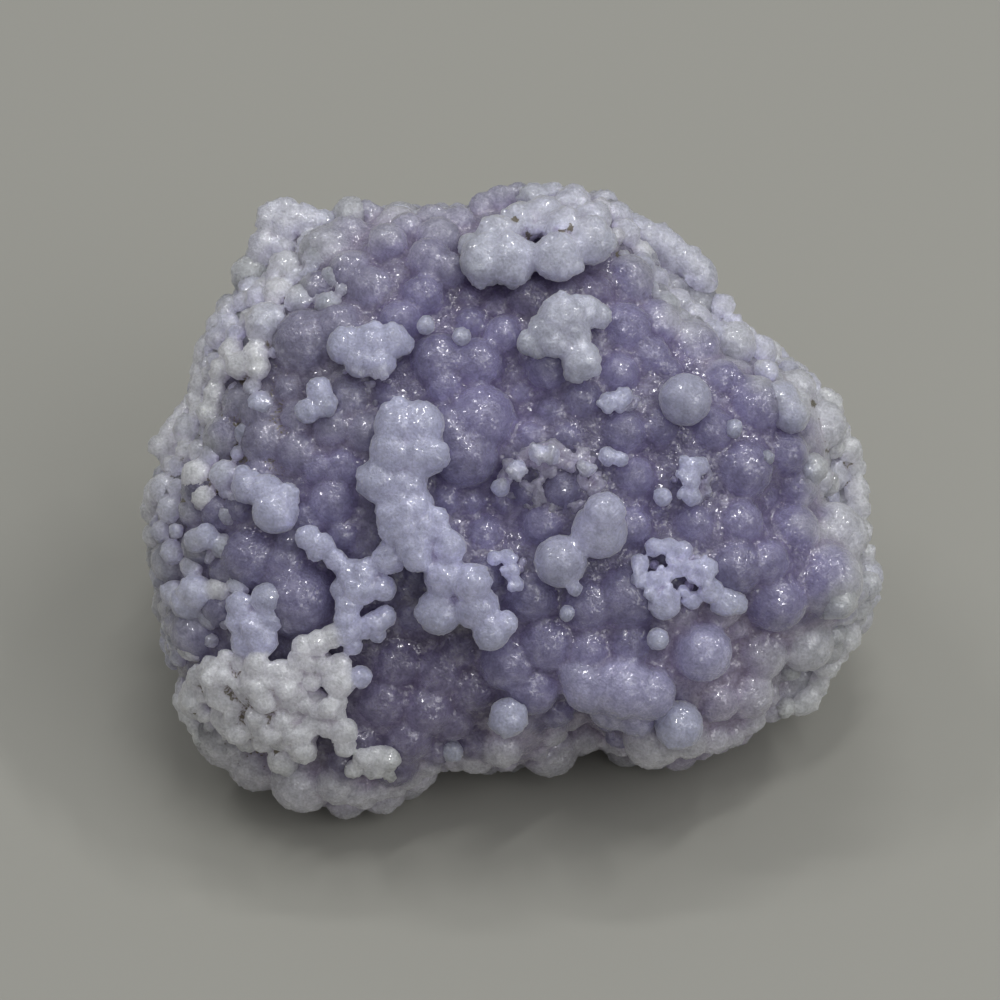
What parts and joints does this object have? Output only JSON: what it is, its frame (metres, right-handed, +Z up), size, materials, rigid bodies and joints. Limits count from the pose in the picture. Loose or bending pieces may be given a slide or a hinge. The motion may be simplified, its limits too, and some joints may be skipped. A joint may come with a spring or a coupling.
{
  "type": "botryoidal chalcedony",
  "caption": "Loose hand specimen of violet botryoidal chalcedony: fused spherules with pale beaded clusters, lying on a flattish broken underside.",
  "frame": {"origin": "middle of the footprint of the bounding box, on the surface that the stone rests on", "axes": "+Z up, +X to the right along the longest extent, the display face looks up and towards -Y"},
  "size_m": [0.0454, 0.0368, 0.0326],
  "materials": {
    "chalcedony": "satin"
  },
  "bodies": {
    "root": {"chalcedony_specimen": "chalcedony"}
  },
  "joints": []
}
